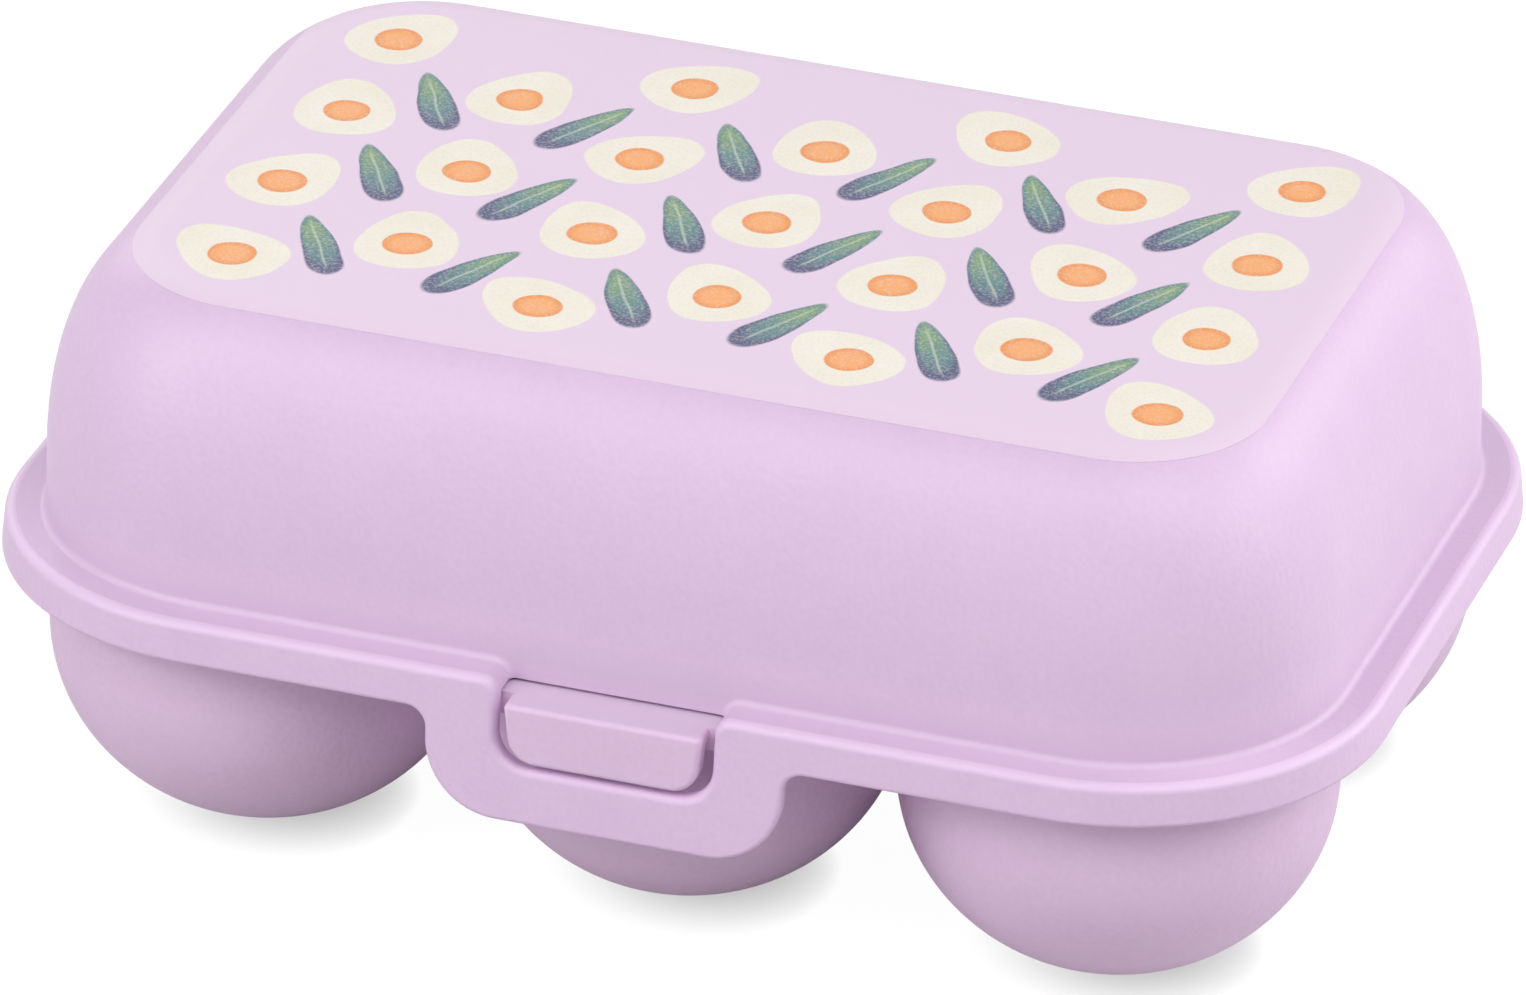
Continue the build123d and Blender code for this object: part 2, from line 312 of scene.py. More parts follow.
# the window's tool: it leaves the bar below and widens where the ledge rolls down into it
sill_z = tongue_z + WINDOW_SILL
window = block((-WINDOW_HALF_WIDTH, WINDOW_HALF_WIDTH), (wall_y - 5 * LID_WALL, wall_y),
               (sill_z, ledge_z))
bpy.ops.object.mode_set(mode="EDIT")
choose(window, "FACE", lambda p, n: n.z > 0.9)
bpy.ops.mesh.extrude_region_move(TRANSFORM_OT_translate={"value": (0, 0, ROOT_ROUND * MM)})
for side in (-1, 1):
    choose(window, "FACE", lambda p, n: n.x * side > 0.9 and p.z > ledge_z)
    bpy.ops.mesh.extrude_region_move(
        TRANSFORM_OT_translate={"value": (side * WINDOW_TOP_ROUND * MM, 0, 0)})
bevel(window, "EDGE", runs_back(WINDOW_HALF_WIDTH, sill_z), WINDOW_CORNER, steps=12)
bevel(window, "EDGE", runs_back(WINDOW_HALF_WIDTH, ledge_z), WINDOW_TOP_ROUND, steps=8)
bpy.ops.mesh.select_all(action="SELECT")
bpy.ops.mesh.remove_doubles(threshold=0.001 * MM)
choose(window, "FACE", lambda p, n: abs(n.y) > 0.9)
bpy.ops.mesh.dissolve_faces(use_verts=False)
bpy.ops.object.mode_set(mode="OBJECT")
cut(lid, window)
for side in (-1, 1):
    middle_x = side * HINGE_OFFSET
    cut(lid, block((middle_x - NOTCH_HALF_WIDTH, middle_x + NOTCH_HALF_WIDTH),
                   (middle_y + half_width - SKIRT_FLARE - LID_WALL, middle_y + 2 * half_width),
                   (skirt_z - SKIRT_DEPTH, ledge_z + SKIRT_DEPTH)))

core_x = half_length - CORNER_RADIUS
core_y = half_width - CORNER_RADIUS


def reach(p):
    """How far outside the plan's core a point lies; the core spans the corners' centres."""
    return math.hypot(max(abs(p.x) - core_x, 0), max(abs(p.y - middle_y) - core_y, 0))


def on_skirt(points, inward=0.0):
    """Whether points lie on the skirt's outer face, or this far behind it."""
    return all(near(reach(p), CORNER_RADIUS - flare * (p.z - skirt_z) - inward, 0.05)
               for p in points)


def at_window(points):
    """Whether points lie within the window's outline, seen from the front."""
    edge_x = WINDOW_HALF_WIDTH + WINDOW_TOP_ROUND + 0.02
    return all(abs(p.x) < edge_x and p.z > sill_z - 0.02 and p.y < middle_y for p in points)


def at_height(points, height):
    """Whether points lie at one height."""
    return all(near(p.z, height) for p in points)


def thin_edge(inward):
    """Tests for the skirt's lower edge with the tongue's outline, on the outer or inner face."""
    def wanted(a, b):
        low = a.z < skirt_z + 0.02 and b.z < skirt_z + 0.02
        return low and not at_window((a, b)) and on_skirt((a, b), inward)
    return wanted


def lip(a, b):
    """The ledge's outer edge, and from it the outline of the window."""
    ends = (a, b)
    return on_skirt(ends) and (at_height(ends, ledge_z) or at_window(ends))


def root(a, b):
    """The hollow corner between ledge and wall, and down the window's two sides."""
    ends = (a, b)
    on_wall = all(near(reach(p), CORNER_RADIUS - SKIRT_FLARE - LEDGE_WIDTH) for p in ends)
    return on_wall and (at_height(ends, ledge_z) or at_window(ends) and (a - b).length < 1)


bpy.ops.object.select_all(action="DESELECT")
bpy.context.view_layer.objects.active = lid
lid.select_set(True)
bpy.ops.object.mode_set(mode="EDIT")
choose(lid, "EDGE", lambda a, b: at_window((a, b)) and at_height((a, b), ledge_z)
       and near(a.y, wall_y) and near(b.y, wall_y))
bpy.ops.mesh.dissolve_edges(use_verts=False)
bevel(lid, "EDGE", thin_edge(0), EDGE_ROUND, steps=5)
bevel(lid, "EDGE", thin_edge(LID_WALL), INNER_EDGE_ROUND, steps=3)
bevel(lid, "EDGE", lip, LEDGE_ROUND, steps=6)
bevel(lid, "EDGE", root, ROOT_ROUND, steps=5)
bpy.ops.object.mode_set(mode="OBJECT")


def smooth(piece):
    """Shades curved faces smooth, and keeps flats flat and corners crisp."""
    bpy.ops.object.select_all(action="DESELECT")
    bpy.context.view_layer.objects.active = piece
    piece.select_set(True)
    bpy.ops.object.shade_smooth_by_angle(angle=SMOOTH_ANGLE)
    weighting = piece.modifiers.new("flats", "WEIGHTED_NORMAL")
    weighting.keep_sharp = True
    bpy.ops.object.modifier_apply(modifier=weighting.name)


# the tongue bends where it leaves the skirt, so it becomes a piece with rows of points there
split_z = skirt_z - TONGUE_SPLIT
bend_z = skirt_z - TONGUE_BEND_END
bpy.ops.object.duplicate()
tongue = bpy.context.object
tongue.name = "clasp_tongue"
for piece, cut_below in ((tongue, False), (lid, True)):
    bpy.ops.object.select_all(action="DESELECT")
    bpy.context.view_layer.objects.active = piece
    piece.select_set(True)
    bpy.ops.object.mode_set(mode="EDIT")
    bpy.ops.mesh.select_mode(type="FACE")
    bpy.ops.mesh.select_all(action="SELECT")
    bpy.ops.mesh.bisect(plane_co=(0, 0, split_z * MM), plane_no=(0, 0, 1), use_fill=True,
                        clear_inner=cut_below, clear_outer=not cut_below)
    bpy.ops.object.mode_set(mode="OBJECT")
bpy.context.view_layer.objects.active = tongue
bpy.ops.object.mode_set(mode="EDIT")
for row in range(1, TONGUE_BEND_ROWS):
    row_z = split_z + (bend_z - split_z) * row / TONGUE_BEND_ROWS
    bpy.ops.mesh.select_all(action="SELECT")
    bpy.ops.mesh.bisect(plane_co=(0, 0, row_z * MM), plane_no=(0, 0, 1))
bpy.ops.object.mode_set(mode="OBJECT")

# painted highlight along the ledge's outer edge, and painted shade over the ledge and up the wall's
# foot
lid_plastic = moulded_plastic("lilac_polypropylene_lid", LID_LILAC, LID_LILAC_WORN)
tree = lid_plastic.node_tree
shader = tree.nodes["Principled BSDF"]
fresh = shader.inputs["Base Color"].links[0].from_socket
place = add(tree, "ShaderNodeTexCoord").outputs["Object"]
height = add(tree, "ShaderNodeSeparateXYZ", Vector=place).outputs["Z"]
from_middle = add(tree, "ShaderNodeVectorMath", {"operation": "SUBTRACT"}, _0=place,
                  _1=(0, middle_y * MM, 0))
apart = add(tree, "ShaderNodeVectorMath", {"operation": "ABSOLUTE"}, _0=from_middle.outputs[0])
beyond = add(tree, "ShaderNodeVectorMath", {"operation": "SUBTRACT"}, _0=apart.outputs[0],
             _1=(core_x * MM, core_y * MM, 1))
outside_core = add(tree, "ShaderNodeVectorMath", {"operation": "MAXIMUM"}, _0=beyond.outputs[0],
                   _1=(0, 0, 0))
out = add(tree, "ShaderNodeVectorMath", {"operation": "LENGTH"}, _0=outside_core.outputs[0])
highlight_reach = CORNER_RADIUS - SKIRT_FLARE - HIGHLIGHT_WIDTH
at_edge = add(tree, "ShaderNodeMapRange", Value=out.outputs["Value"],
              From_Min=(highlight_reach - 0.1) * MM, From_Max=highlight_reach * MM)
painted_highlight_band = add(tree, "ShaderNodeMapRange", Value=height, From_Min=(ledge_z - HIGHLIGHT_DEPTH) * MM,
             From_Max=(ledge_z - HIGHLIGHT_DEPTH + HIGHLIGHT_FADE) * MM)
with_painted_highlight = add(tree, "ShaderNodeMix", {"data_type": "RGBA"}, _0=painted_highlight_band.outputs["Result"], _6=fresh,
            _7=linear(LID_PAINTED_HIGHLIGHT))
# painted shade: darker over the ledge and the foot of the wall above it
above_underside = add(tree, "ShaderNodeMapRange", Value=height, From_Min=(under_ledge_z - 1) * MM,
                From_Max=under_ledge_z * MM)
foot = add(tree, "ShaderNodeMapRange", Value=height, From_Min=(ledge_z + SHADE_FADE) * MM,
           From_Max=(ledge_z + ROOT_ROUND) * MM)
hollow = add(tree, "ShaderNodeMath", {"operation": "MULTIPLY"}, _0=above_underside.outputs["Result"],
             _1=foot.outputs["Result"])
with_painted_shade = add(tree, "ShaderNodeMix", {"data_type": "RGBA"}, _0=hollow.outputs[0], _6=fresh,
             _7=linear(LID_PAINTED_SHADE))
lid_colour = add(tree, "ShaderNodeMix", {"data_type": "RGBA"}, _0=at_edge.outputs["Result"],
                 _6=with_painted_shade.outputs[2], _7=with_painted_highlight.outputs[2])
tree.links.new(lid_colour.outputs[2], shader.inputs["Base Color"])
for piece in (lid, tongue):
    smooth(piece)
    dress(piece, lid_plastic)
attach(lid, "lid")
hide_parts("lid_shell")
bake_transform(tongue)
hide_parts("clasp_loop")
for name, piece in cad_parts.items():
    if name.startswith("lid_knuckle"):
        dress(piece, lid_plastic)

# --- Catch ----------------------------------------------------------------------------
# The hooked tab in the tongue's window: a shelf level with the deck and a thick lip turned
# down over the tongue's bar, with an upright face that stands a little proud of the skirt.
# It is moulded in one with the tray's rim, and its edges are soft.

CATCH_HALF_WIDTH = 12.2
CATCH_FOOT_HALF_WIDTH = 11.35
CATCH_THICKNESS = 1.6       # of the shelf, and of the lip behind the skirt's outer face
CATCH_SILL_GAP = 0.7
CATCH_RECESS = 0.5          # of its face, behind the tongue's lower edge
CATCH_CORNER = 3.0
CATCH_EDGE_ROUND = 0.7
TRAY_PAINTED_SHADE = "#DEC7E0"       # painted shade on the flat top of deck and catch, under the lid's wall

_, catch_high = (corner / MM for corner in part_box("catch_tab"))
catch_top = catch_high.z
catch_bottom = sill_z + CATCH_SILL_GAP
shelf_z = catch_top - CATCH_THICKNESS


def front_y(height):
    """How far forward the skirt's outer face stands on the long front at a height."""
    return middle_y - half_width + flare * (height - skirt_z)


# the face stands nearly as far forward as the lower edge of the tongue
face_y = front_y(tongue_z) + CATCH_RECESS
lip_back_y = front_y(shelf_z) + CATCH_THICKNESS
catch = block((-CATCH_HALF_WIDTH, CATCH_HALF_WIDTH), (face_y, catch_high.y), (shelf_z, catch_top))
catch.name = "catch_lip"
bpy.ops.object.mode_set(mode="EDIT")
bpy.ops.mesh.select_all(action="SELECT")
bpy.ops.mesh.bisect(plane_co=(0, lip_back_y * MM, shelf_z * MM), plane_no=(0, 1, 0))
choose(catch, "FACE", lambda p, n: n.z < -0.9 and p.y < lip_back_y)
bpy.ops.mesh.extrude_region_move(
    TRANSFORM_OT_translate={"value": (0, 0, (catch_bottom - shelf_z) * MM)})
narrowing = (CATCH_HALF_WIDTH - CATCH_FOOT_HALF_WIDTH) / (catch_top - catch_bottom)
for height in (shelf_z, catch_bottom):
    width_there = 1 - narrowing * (catch_top - height) / CATCH_HALF_WIDTH
    choose(catch, "VERT", lambda p: near(p.z, height))
    bpy.ops.transform.resize(value=(width_there, 1, 1), center_override=(0, 0, 0))
bevel(catch, "EDGE", runs_back(CATCH_FOOT_HALF_WIDTH, catch_bottom), CATCH_CORNER, steps=10)


def catch_rim(a, b):
    """The outline of the lip's front face, and the shelf's two sides."""
    in_front = near(a.y, face_y) and near(b.y, face_y)
    on_side = near(abs(a.x), CATCH_HALF_WIDTH) and near(a.x, b.x) and at_height((a, b), catch_top)
    return in_front and not at_height((a, b), shelf_z) or on_side


bevel(catch, "EDGE", catch_rim, CATCH_EDGE_ROUND, steps=5)
bpy.ops.object.mode_set(mode="OBJECT")
smooth(catch)
dress(catch, tray_plastic)

# painted shade: the flat top of deck and catch gets a darker colour
tree = tray_plastic.node_tree
shader = tree.nodes["Principled BSDF"]
place = add(tree, "ShaderNodeTexCoord").outputs["Object"]
height = add(tree, "ShaderNodeSeparateXYZ", Vector=place).outputs["Z"]
on_top = add(tree, "ShaderNodeMapRange", Value=height, From_Min=(catch_top - 0.03) * MM,
             From_Max=(catch_top - 0.01) * MM)
tray_colour = add(tree, "ShaderNodeMix", {"data_type": "RGBA"}, _0=on_top.outputs["Result"],
                  _6=shader.inputs["Base Color"].links[0].from_socket, _7=linear(TRAY_PAINTED_SHADE))
tree.links.new(tray_colour.outputs[2], shader.inputs["Base Color"])
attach(catch, "tray")
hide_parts("catch_tab")

# --- Printed film ---------------------------------------------------------------------
# A clear film, screen-printed and fused to the lid's crown in the mould, so it lies nearly
# flush and ends in a hair of an edge. The print is a plain repeat of halved eggs, in columns
# dropped by half a step, and loose leaves, as if drawn with a soft pencil on grained paper.

FILM_TINT = "#EBD5EB"
EGG_WHITE = "#FAF6EA"
EGG_WHITE_SHADE = "#F2EAD6"
YOLK = "#FBB06F"
YOLK_SHADE = "#EC8E40"
LEAF_TIP = "#7FA06A"
LEAF_MIDDLE = "#588384"
LEAF_STALK = "#474F72"
LEAF_RIB = "#B9CBB4"
REPEAT_X = 19.0             # mm, as are all sizes of the print
REPEAT_Y = 20.0
EGG_DROP = 0.5              # of a step, from one column to the next
EGG_SHIFT = 0.5             # of a step, as is the leaves'
LEAF_SHIFT = -0.25
PRINT_HALF_LENGTH = 60.0    # motifs whose middle lies further out are left off
PRINT_HALF_WIDTH = 32.0
EGG_HALF_LENGTH = 7.4
EGG_HALF_WIDTH = 5.9
EGG_TAPER = 0.035           # narrower towards one end, per mm
YOLK_RADIUS = 2.9
YOLK_OFFSET = 1.0
EGG_TURN = 1.1              # radians, the furthest that an egg is turned either way
LEAF_HALF_LENGTH = 7.6
LEAF_HALF_WIDTH = 2.2
LEAF_TAPER = 0.05
LEAF_LEAN = math.radians(28)
RIB_HALF_WIDTH = 0.16
RIB_STRENGTH = 0.7
STROKE_STRETCH = (1.6, 0.25, 1)     # the strokes run along the leaf
STROKE_SHARE = 0.6          # how much they sway its colour
EDGE_PRESS = 0.6            # how much darker its outline is drawn
INK_EDGE = 0.12             # how far the ink's edge fades
BRUSH_WANDER = 0.9          # how far the hand strays from the plain outline
BRUSH_WIDTH = 7.0
PENCIL_WIDTH = 0.36         # grain of the drawing paper that the print shows
PENCIL_COVER = 0.66         # how much colour reaches the hollows of that grain
FILM_GRAIN_SHARE = 0.6      # of the plastic's grain, which the film softens
FILM_ROUGHNESS_LOW = 0.44
FILM_ROUGHNESS_HIGH = 0.52

film_print = bpy.data.materials.new("printed_polypropylene_film")
film_print.use_nodes = True
tree = film_print.node_tree
shader = tree.nodes["Principled BSDF"]
place = add(tree, "ShaderNodeTexCoord").outputs["Object"]
brush = add(tree, "ShaderNodeTexNoise", Vector=place, Scale=1 / (BRUSH_WIDTH * MM), Detail=1.0)
stray = add(tree, "ShaderNodeVectorMath", {"operation": "SUBTRACT"}, _0=brush.outputs["Color"],
            _1=(0.5, 0.5, 0.5))
crown = add(tree, "ShaderNodeMapping", Vector=place, Location=(0, -middle_y * MM, 0))
drawn = add(tree, "ShaderNodeVectorMath", {"operation": "MULTIPLY_ADD"}, _0=stray.outputs[0],
            _1=(BRUSH_WANDER * MM, BRUSH_WANDER * MM, 0), _2=crown.outputs[0])
pencil = add(tree, "ShaderNodeTexNoise", Vector=place, Scale=1 / (PENCIL_WIDTH * MM), Detail=2.0)
cover = add(tree, "ShaderNodeMapRange", Value=pencil.outputs["Fac"], From_Min=0.48, From_Max=0.68,
            To_Min=1.0, To_Max=PENCIL_COVER)


def repeat(drop, shift_x, shift_y):
    """Repeats a motif: its odd columns are dropped, and all of it is shifted, by parts of a
    step. Gives the place in mm from the motif's middle, if the column is odd, the place in
    steps, which counts the motifs, and if this one is printed.
    """
    steps = add(tree, "ShaderNodeMapping", Vector=drawn.outputs[0],
                Scale=(1 / (REPEAT_X * MM), 1 / (REPEAT_Y * MM), 0), Location=(shift_x, shift_y, 0))
    parts = add(tree, "ShaderNodeSeparateXYZ", Vector=steps.outputs[0])
    column = add(tree, "ShaderNodeMath", {"operation": "FLOOR"}, _0=parts.outputs["X"])
    odd = add(tree, "ShaderNodeMath", {"operation": "FLOORED_MODULO"}, _0=column.outputs[0], _1=2.0)
    dropped = add(tree, "ShaderNodeMath", {"operation": "MULTIPLY_ADD"}, _0=odd.outputs[0],
                  _1=drop, _2=parts.outputs["Y"])
    cell = add(tree, "ShaderNodeCombineXYZ", X=parts.outputs["X"], Y=dropped.outputs[0])
    inside = add(tree, "ShaderNodeVectorMath", {"operation": "FRACTION"}, _0=cell.outputs[0])
    centred = add(tree, "ShaderNodeVectorMath", {"operation": "SUBTRACT"}, _0=inside.outputs[0],
                  _1=(0.5, 0.5, 0))
    in_mm = add(tree, "ShaderNodeVectorMath", {"operation": "MULTIPLY"}, _0=centred.outputs[0],
                _1=(REPEAT_X, REPEAT_Y, 0))
    back = add(tree, "ShaderNodeVectorMath", {"operation": "SCALE"}, _0=in_mm.outputs[0], Scale=-MM)
    middle = add(tree, "ShaderNodeVectorMath", {"operation": "ADD"}, _0=drawn.outputs[0],
                 _1=back.outputs[0])
    away = add(tree, "ShaderNodeVectorMath", {"operation": "ABSOLUTE"}, _0=middle.outputs[0])
    away_parts = add(tree, "ShaderNodeSeparateXYZ", Vector=away.outputs[0])
    in_length = add(tree, "ShaderNodeMath", {"operation": "LESS_THAN"}, _0=away_parts.outputs["X"],
                    _1=PRINT_HALF_LENGTH * MM)
    in_width = add(tree, "ShaderNodeMath", {"operation": "LESS_THAN"}, _0=away_parts.outputs["Y"],
                   _1=PRINT_HALF_WIDTH * MM)
    printed = add(tree, "ShaderNodeMath", {"operation": "MULTIPLY"}, _0=in_length.outputs[0],
                  _1=in_width.outputs[0])
    return in_mm.outputs[0], odd.outputs[0], cell.outputs[0], printed.outputs[0]


def turn(vector, share, low, high):
    """Turns a motif between two angles, by a share from 0 to 1."""
    angle = add(tree, "ShaderNodeMapRange", Value=share, To_Min=low, To_Max=high)
    return add(tree, "ShaderNodeVectorRotate", {"rotation_type": "Z_AXIS"}, Vector=vector,
               Angle=angle.outputs["Result"]).outputs[0]


def oval(vector, half_width, half_length, taper, printed):
    """The ink of an oval, and how far out a point stands, with 1 at the outline."""
    parts = add(tree, "ShaderNodeSeparateXYZ", Vector=vector)
    swell = add(tree, "ShaderNodeMath", {"operation": "MULTIPLY_ADD"}, _0=parts.outputs["Y"],
                _1=taper, _2=1.0)
    across = add(tree, "ShaderNodeMath", {"operation": "MULTIPLY"}, _0=parts.outputs["X"],
                 _1=swell.outputs[0])
    even = add(tree, "ShaderNodeCombineXYZ", X=across.outputs[0], Y=parts.outputs["Y"])
    unit = add(tree, "ShaderNodeVectorMath", {"operation": "DIVIDE"}, _0=even.outputs[0],
               _1=(half_width, half_length, 1))
    out = add(tree, "ShaderNodeVectorMath", {"operation": "LENGTH"}, _0=unit.outputs[0])
    fade = INK_EDGE / half_width
    shape = add(tree, "ShaderNodeMapRange", {"interpolation_type": "SMOOTHSTEP"},
                Value=out.outputs["Value"], From_Min=1 + fade, From_Max=1 - fade)
    inked = add(tree, "ShaderNodeMath", {"operation": "MULTIPLY"}, _0=shape.outputs["Result"],
                _1=printed)
    grained = add(tree, "ShaderNodeMath", {"operation": "MULTIPLY"}, _0=inked.outputs[0],
                  _1=cover.outputs["Result"])
    return grained.outputs[0], out.outputs["Value"]


def ink(below, mask, pale, dark, depth):
    """Lays a colour that wanders between two shades over what is below."""
    shade = add(tree, "ShaderNodeMix", {"data_type": "RGBA"}, _0=depth, _6=linear(pale),
                _7=linear(dark))
    return add(tree, "ShaderNodeMix", {"data_type": "RGBA"}, _0=mask, _6=below,
               _7=shade.outputs[2]).outputs[2]


# leaves, which lean to one side and the other from column to column
leaf_at, leaf_odd, _, leaf_printed = repeat(0.0, 0.0, LEAF_SHIFT)
leaf_at = turn(leaf_at, leaf_odd, LEAF_LEAN, -LEAF_LEAN)
leaf_ink, leaf_out = oval(leaf_at, LEAF_HALF_WIDTH, LEAF_HALF_LENGTH, LEAF_TAPER, leaf_printed)
leaf_parts = add(tree, "ShaderNodeSeparateXYZ", Vector=leaf_at)
wash = add(tree, "ShaderNodeMapRange", Value=leaf_parts.outputs["Y"], From_Min=-LEAF_HALF_LENGTH,
           From_Max=LEAF_HALF_LENGTH, To_Min=-0.35, To_Max=0.85)
stroke_place = add(tree, "ShaderNodeVectorMath", {"operation": "MULTIPLY"}, _0=leaf_at,
                   _1=STROKE_STRETCH)
strokes = add(tree, "ShaderNodeTexNoise", Vector=stroke_place.outputs[0], Scale=1.0, Detail=3.0)
blended = add(tree, "ShaderNodeMath", {"operation": "MULTIPLY_ADD"}, _0=strokes.outputs["Fac"],
              _1=STROKE_SHARE, _2=wash.outputs["Result"])
pressed = add(tree, "ShaderNodeMapRange", Value=leaf_out, From_Min=0.7, From_Max=1.0,
              To_Min=0.0, To_Max=-EDGE_PRESS)
washed = add(tree, "ShaderNodeMath", {"operation": "ADD"}, _0=blended.outputs[0],
             _1=pressed.outputs["Result"])
leaf_colours = add(tree, "ShaderNodeValToRGB", Fac=washed.outputs[0])
ramp = leaf_colours.color_ramp.elements
ramp[0].color = linear(LEAF_STALK)
ramp[1].color = linear(LEAF_TIP)
ramp.new(0.45).color = linear(LEAF_MIDDLE)
aside = add(tree, "ShaderNodeMath", {"operation": "ABSOLUTE"}, _0=leaf_parts.outputs["X"])
rib = add(tree, "ShaderNodeMapRange", {"interpolation_type": "SMOOTHSTEP"}, Value=aside.outputs[0],
          From_Min=RIB_HALF_WIDTH + INK_EDGE, From_Max=RIB_HALF_WIDTH - INK_EDGE)
rib_end = add(tree, "ShaderNodeMapRange", Value=leaf_out, From_Min=0.85, From_Max=0.6,
              To_Max=RIB_STRENGTH)
rib_ink = add(tree, "ShaderNodeMath", {"operation": "MULTIPLY"}, _0=rib.outputs["Result"],
              _1=rib_end.outputs["Result"])
leaf_drawn = add(tree, "ShaderNodeMix", {"data_type": "RGBA"}, _0=rib_ink.outputs[0],
                 _6=leaf_colours.outputs["Color"], _7=linear(LEAF_RIB))
colour = add(tree, "ShaderNodeMix", {"data_type": "RGBA"}, _0=leaf_ink, _6=linear(FILM_TINT),
             _7=leaf_drawn.outputs[2]).outputs[2]

# eggs cut in half, each turned a little its own way
egg_at, _, egg_cell, egg_printed = repeat(EGG_DROP, EGG_SHIFT, EGG_SHIFT)
egg_number = add(tree, "ShaderNodeVectorMath", {"operation": "FLOOR"}, _0=egg_cell)
egg_chance = add(tree, "ShaderNodeTexWhiteNoise", {"noise_dimensions": "3D"},
                 Vector=egg_number.outputs[0])
egg_at = turn(egg_at, egg_chance.outputs["Value"], -EGG_TURN, EGG_TURN)
egg_ink, _ = oval(egg_at, EGG_HALF_WIDTH, EGG_HALF_LENGTH, EGG_TAPER, egg_printed)
colour = ink(colour, egg_ink, EGG_WHITE, EGG_WHITE_SHADE, brush.outputs["Fac"])
yolk_at = add(tree, "ShaderNodeVectorMath", {"operation": "ADD"}, _0=egg_at, _1=(0, YOLK_OFFSET, 0))
yolk_ink, yolk_out = oval(yolk_at.outputs[0], YOLK_RADIUS, YOLK_RADIUS, 0.0, egg_printed)
yolk_rim = add(tree, "ShaderNodeMapRange", Value=yolk_out, From_Min=0.55, From_Max=1.0,
               To_Min=-0.3, To_Max=0.5)
yolk_depth = add(tree, "ShaderNodeMath", {"operation": "ADD", "use_clamp": True},
                 _0=yolk_rim.outputs["Result"], _1=pencil.outputs["Fac"])
colour = ink(colour, yolk_ink, YOLK, YOLK_SHADE, yolk_depth.outputs[0])
tree.links.new(colour, shader.inputs["Base Color"])
film_grain = add(tree, "ShaderNodeTexNoise", Vector=place, Scale=1 / (GRAIN_WIDTH * MM), Detail=1.5)
film_relief = add(tree, "ShaderNodeBump", Height=film_grain.outputs["Fac"], Strength=1.0,
                  Distance=FILM_GRAIN_SHARE * GRAIN_HEIGHT * MM)
tree.links.new(film_relief.outputs["Normal"], shader.inputs["Normal"])
gloss = add(tree, "ShaderNodeMapRange", Value=brush.outputs["Fac"], To_Min=FILM_ROUGHNESS_LOW,
            To_Max=FILM_ROUGHNESS_HIGH)
tree.links.new(gloss.outputs["Result"], shader.inputs["Roughness"])
shader.inputs["IOR"].default_value = POLYPROPYLENE_IOR
dress(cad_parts["lid_film"], film_print)

# --- Floor, light and camera ----------------------------------------------------------
# White studio paper that comes out plain white, with a soft shadow where the cups touch it,
# and six large soft boxes round the object, the strongest low at the front left and at the
# right, as for a catalogue picture.

PAPER = "#CACACA"           # what it sends back to the object; the camera sees it white
PAPER_GLOW = 0.97
CONTACT_GLOW = 0.1          # where the cups nearly touch
CONTACT_REACH = 5.5         # mm
LIT_SHARE = 0.12            # how much of the lamps' light, and so of the shadows, shows on it
MIRRORED_GLOW = 0.4         # makes the open paper white in the gloss of the plastic too
SHELTER_REACH = 50.0        # mm, for the paper under the object, which mirrors dark
PAPER_ROUGHNESS = 0.9
PAPER_SIZE = 6              # m
SOFT_BOX = 0.9              # m
SENSOR_WIDTH = 36.0         # mm
LENS = 350.276              # mm
CAMERA_PLACE = (0.49273, -1.4790438, 0.86953)
CAMERA_HEADING = 0.3222112  # radians, as are the two below
CAMERA_LOOK_DOWN = 0.4915875
CAMERA_ROLL = 0.0182615

bpy.ops.object.select_all(action="DESELECT")
bpy.ops.mesh.primitive_plane_add(size=PAPER_SIZE)
paper = bpy.context.object
paper.name = "studio_paper"
white_paper = bpy.data.materials.new("white_paper")
white_paper.use_nodes = True
tree = white_paper.node_tree
shader = tree.nodes["Principled BSDF"]
shader.inputs["Base Color"].default_value = linear(PAPER)
shader.inputs["Roughness"].default_value = PAPER_ROUGHNESS
rays = add(tree, "ShaderNodeLightPath")
mirrored = add(tree, "ShaderNodeMath", {"operation": "MAXIMUM"}, _0=rays.outputs["Is Glossy Ray"],
               _1=rays.outputs["Is Transmission Ray"])
around = add(tree, "ShaderNodeAmbientOcclusion", Distance=SHELTER_REACH * MM)
open_glow = add(tree, "ShaderNodeMath", {"operation": "MULTIPLY"}, _0=around.outputs["AO"],
                _1=MIRRORED_GLOW)
fill = add(tree, "ShaderNodeMath", {"operation": "MULTIPLY"}, _0=mirrored.outputs[0],
           _1=open_glow.outputs[0])
mirrored_paper = add(tree, "ShaderNodeEmission", Strength=fill.outputs[0])
unseen = add(tree, "ShaderNodeAddShader", _0=shader.outputs[0], _1=mirrored_paper.outputs[0])
towards_light = add(tree, "ShaderNodeCombineXYZ", X=-0.62, Y=-0.65, Z=0.3)
openness = add(tree, "ShaderNodeAmbientOcclusion", Distance=CONTACT_REACH * MM,
               Normal=towards_light.outputs[0])
glow_level = add(tree, "ShaderNodeMapRange", Value=openness.outputs["AO"],
                 To_Min=CONTACT_GLOW, To_Max=PAPER_GLOW)
glow = add(tree, "ShaderNodeEmission", Strength=glow_level.outputs["Result"])
lit = add(tree, "ShaderNodeBsdfDiffuse", Color=(LIT_SHARE, LIT_SHARE, LIT_SHARE, 1))
seen = add(tree, "ShaderNodeAddShader", _0=glow.outputs[0], _1=lit.outputs[0])
look = add(tree, "ShaderNodeMixShader", _0=rays.outputs["Is Camera Ray"], _1=unseen.outputs[0],
           _2=seen.outputs[0])
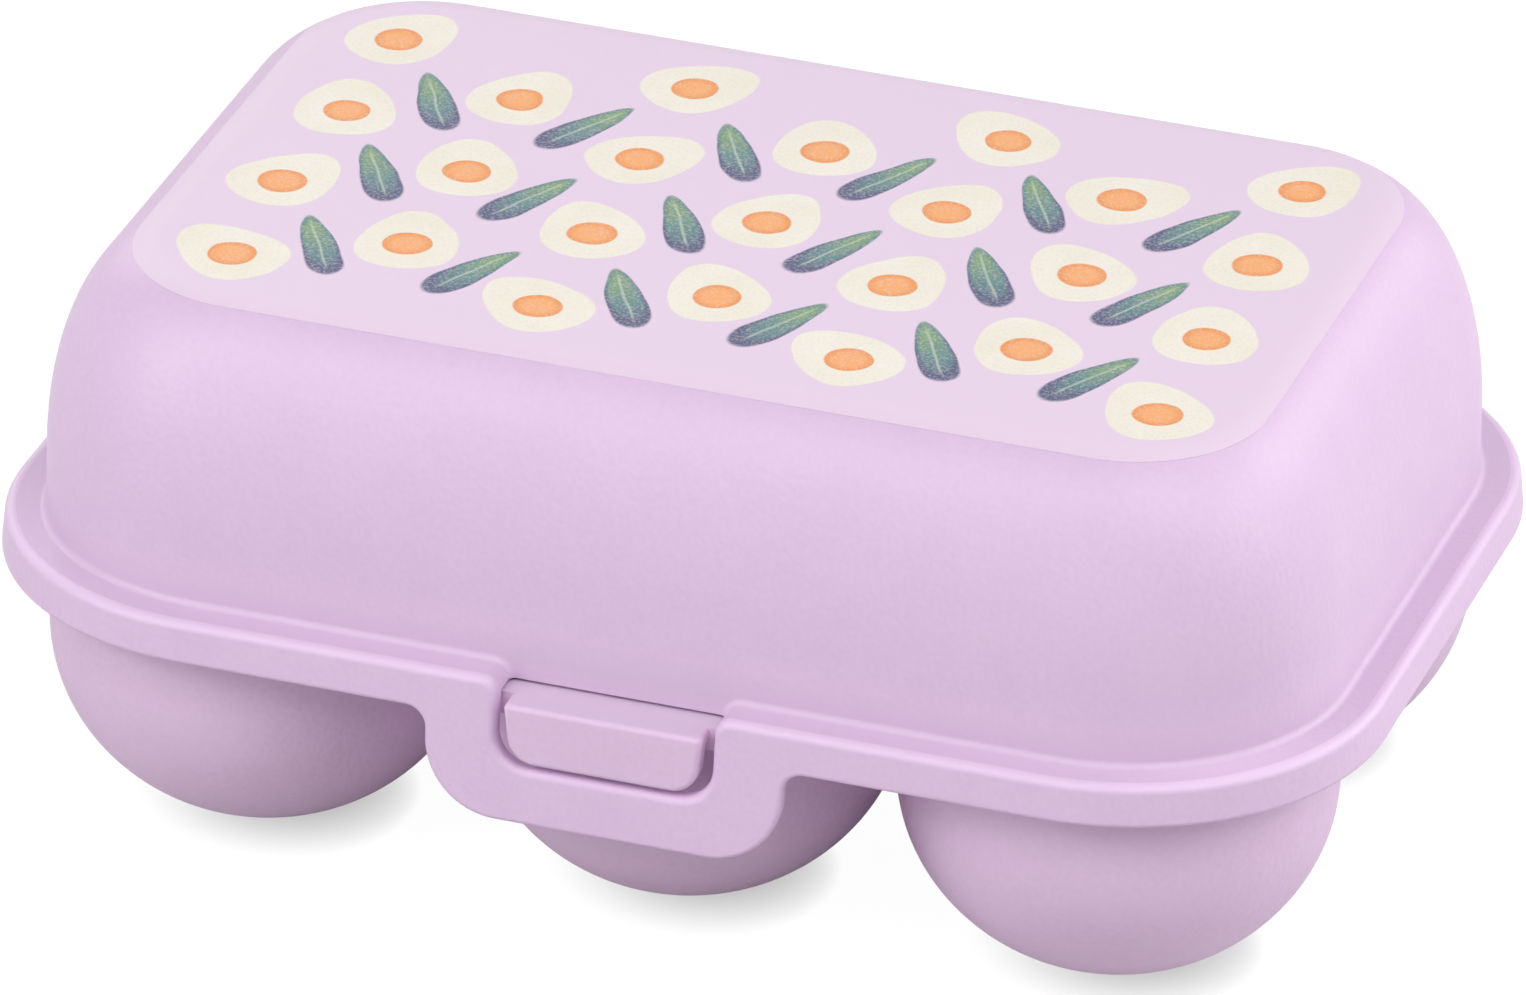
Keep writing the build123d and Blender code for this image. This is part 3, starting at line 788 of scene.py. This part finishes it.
tree.links.new(look.outputs[0], tree.nodes["Material Output"].inputs["Surface"])
dress(paper, white_paper)

world = bpy.data.worlds.new("studio")
bpy.context.scene.world = world
world.use_nodes = True
tree = world.node_tree
rays = add(tree, "ShaderNodeLightPath")
mirrored = add(tree, "ShaderNodeMath", {"operation": "MAXIMUM"}, _0=rays.outputs["Is Glossy Ray"],
               _1=rays.outputs["Is Transmission Ray"])
shown = add(tree, "ShaderNodeMath", {"operation": "ADD", "use_clamp": True},
            _0=rays.outputs["Is Camera Ray"], _1=mirrored.outputs[0])
tree.nodes["Background"].inputs["Color"].default_value = (1, 1, 1, 1)
tree.links.new(shown.outputs[0], tree.nodes["Background"].inputs["Strength"])


def lamp(name, place, power):
    """Adds a square soft box that faces the object."""
    light = bpy.data.lights.new(name, "AREA")
    light.size = SOFT_BOX
    light.energy = power
    holder = bpy.data.objects.new(name, light)
    bpy.context.collection.objects.link(holder)
    holder.location = place
    holder.rotation_euler = (Vector(place) * -1).to_track_quat("-Z", "Y").to_euler()


lamp("right", (1.3, 0.0, 0.6), 7.8)
lamp("right_rear", (0.9, 0.9, 0.7), 7.5)
lamp("left_rear", (-0.9, 0.9, 0.7), 4.6)
lamp("front_left", (-0.9, -0.9, 0.6), 8.8)
lamp("front_right", (0.7, -0.7, 1.2), 7.1)
lamp("front_high", (-0.3, -0.85, 1.15), 5.2)

camera_data = bpy.data.cameras.new("camera")
camera = bpy.data.objects.new("camera", camera_data)
bpy.context.collection.objects.link(camera)
camera_data.sensor_fit = "HORIZONTAL"
camera_data.sensor_width = SENSOR_WIDTH
camera_data.lens = LENS
camera_data.clip_start = 0.1
camera_data.clip_end = 20
camera.matrix_world = (Matrix.Translation(CAMERA_PLACE)
                       @ Matrix.Rotation(CAMERA_HEADING, 4, "Z")
                       @ Matrix.Rotation(math.pi / 2 - CAMERA_LOOK_DOWN, 4, "X")
                       @ Matrix.Rotation(CAMERA_ROLL, 4, "Z"))
bpy.context.scene.camera = camera
bpy.context.scene.view_settings.view_transform = "Standard"
